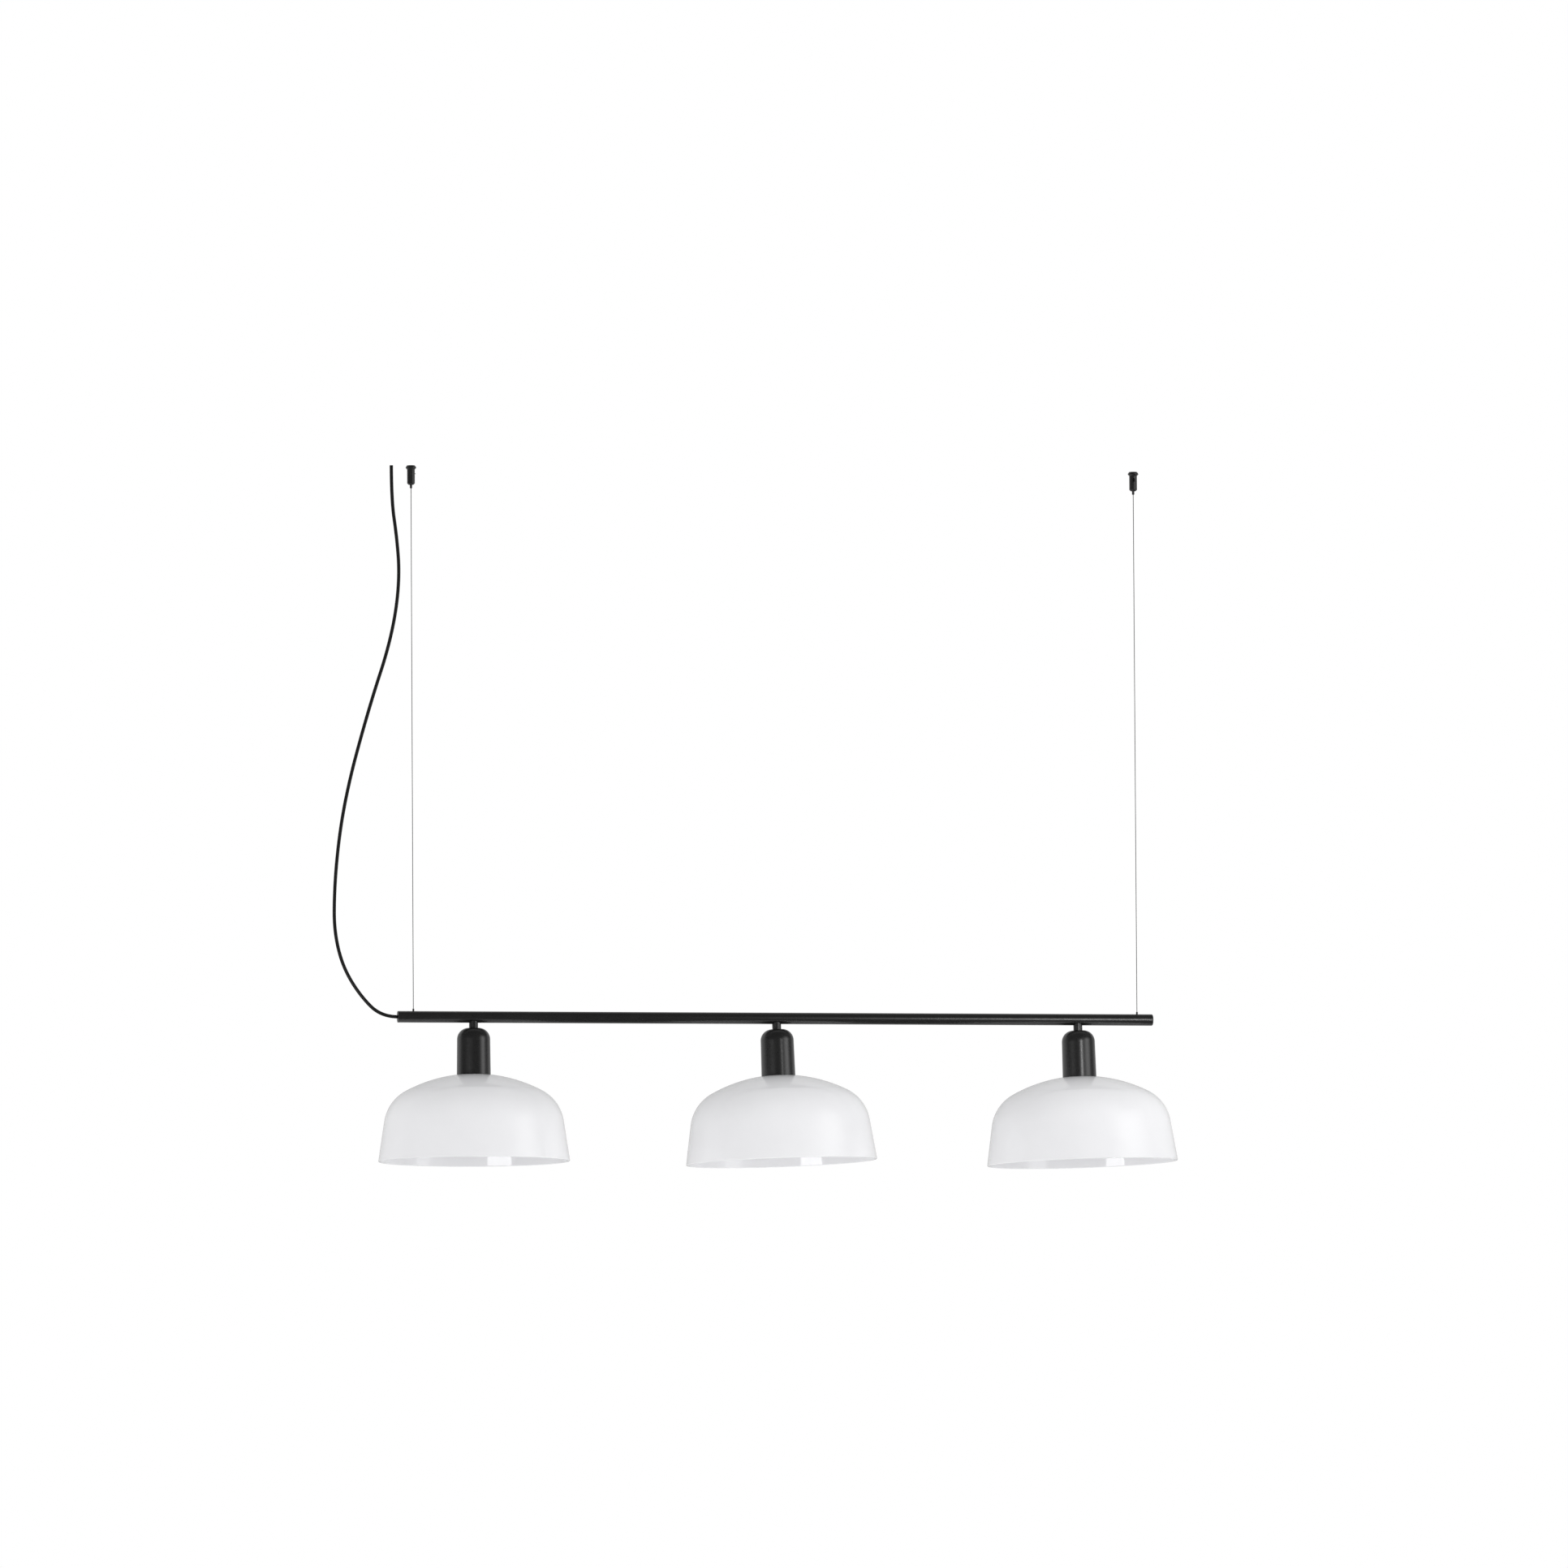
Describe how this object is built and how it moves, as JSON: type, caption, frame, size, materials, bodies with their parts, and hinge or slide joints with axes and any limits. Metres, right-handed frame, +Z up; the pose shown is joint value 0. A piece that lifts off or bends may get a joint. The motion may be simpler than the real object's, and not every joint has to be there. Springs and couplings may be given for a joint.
{
  "type": "linear pendant light",
  "caption": "Linear pendant light: a black round bar, hung on steel wires from ceiling grips, carries opal glass dome shades under black cups and is fed by a loose power cable.",
  "frame": {"origin": "on the ceiling, midway between the two screw holes of the ceiling fixings", "axes": "+Z up out of the ceiling face, +X along the bar away from the cable's end, +Y to the back"},
  "size_m": [1.3367, 0.2996, 1.0958],
  "materials": {
    "black_metal": "satin black powder coat",
    "steel_wire": "bare stranded steel wire",
    "plain_steel": "zinc plated",
    "black_cable": "matt black sheath",
    "lead_insulation": "matt",
    "holder_plastic": "matt black moulding",
    "white_ceramic": "unglazed ceramic",
    "brass": "bright",
    "nickel": "bright",
    "opal_glass": "glossy opal white",
    "bulb_glass": "frosted white"
  },
  "bodies": {
    "ceiling_fixings": {"ceiling_base_left": "black_metal", "ceiling_base_right": "black_metal", "grip_sleeve_left": "black_metal", "grip_sleeve_right": "black_metal", "spring_seat_left": "plain_steel", "spring_seat_right": "plain_steel", "grip_spring_left": "plain_steel", "grip_spring_right": "plain_steel", "wire_tail_left": "steel_wire", "wire_tail_right": "steel_wire"},
    "left_plunger": {"grip_plunger_left": "black_metal"},
    "right_plunger": {"grip_plunger_right": "black_metal"},
    "suspension": {"suspension_wire_left": "steel_wire", "suspension_wire_right": "steel_wire", "power_cable": "black_cable"},
    "light_bar": {"wire_bushes": "black_metal", "bar_tube": "black_metal", "bar_end_cap": "black_metal", "cable_end_plug": "black_metal", "spacer_left": "black_metal", "spacer_middle": "black_metal", "spacer_right": "black_metal", "cup_left": "black_metal", "cup_middle": "black_metal", "cup_right": "black_metal", "wire_stops": "plain_steel", "cable_crimp": "plain_steel", "saddle_nuts": "plain_steel", "nipples": "plain_steel", "lock_nuts": "plain_steel", "cable_inner_end": "black_cable", "lead_splices": "lead_insulation", "lamp_leads_left": "lead_insulation", "lamp_leads_middle": "lead_insulation", "lamp_leads_right": "lead_insulation", "holder_cap_left": "holder_plastic", "holder_cap_middle": "holder_plastic", "holder_cap_right": "holder_plastic", "holder_skirt_left": "holder_plastic", "holder_skirt_middle": "holder_plastic", "holder_skirt_right": "holder_plastic", "shade_ring_left": "holder_plastic", "shade_ring_middle": "holder_plastic", "shade_ring_right": "holder_plastic", "holder_insert_left": "white_ceramic", "holder_insert_middle": "white_ceramic", "holder_insert_right": "white_ceramic", "screw_shell_left": "brass", "screw_shell_middle": "brass", "screw_shell_right": "brass", "centre_contacts": "brass", "bulb_cap_left": "nickel", "bulb_cap_middle": "nickel", "bulb_cap_right": "nickel", "shade_left": "opal_glass", "shade_middle": "opal_glass", "shade_right": "opal_glass", "bulb_globe_left": "bulb_glass", "bulb_globe_middle": "bulb_glass", "bulb_globe_right": "bulb_glass"}
  },
  "joints": [
    {"name": "left_grip_release", "type": "slide", "parent": "ceiling_fixings", "child": "left_plunger", "axis": [0, 0, 1], "range_m": [0, 0.002], "stiffness_N_per_m": 500, "springref_m": -0.004, "deforming": ["grip_spring_left"]},
    {"name": "right_grip_release", "type": "slide", "parent": "ceiling_fixings", "child": "right_plunger", "axis": [0, 0, 1], "range_m": [0, 0.002], "stiffness_N_per_m": 500, "springref_m": -0.004, "deforming": ["grip_spring_right"]},
    {"name": "swing", "type": "hinge", "parent": "ceiling_fixings", "child": "suspension", "pos_m": [0, 0, -0.03645], "axis": [1, 0, 0], "range_deg": [-12, 12]},
    {"name": "height_adjust", "type": "slide", "parent": "suspension", "child": "light_bar", "axis": [0, 0, 1], "range_m": [0, 0.4], "deforming": ["suspension_wire_left", "suspension_wire_right", "power_cable"]}
  ]
}
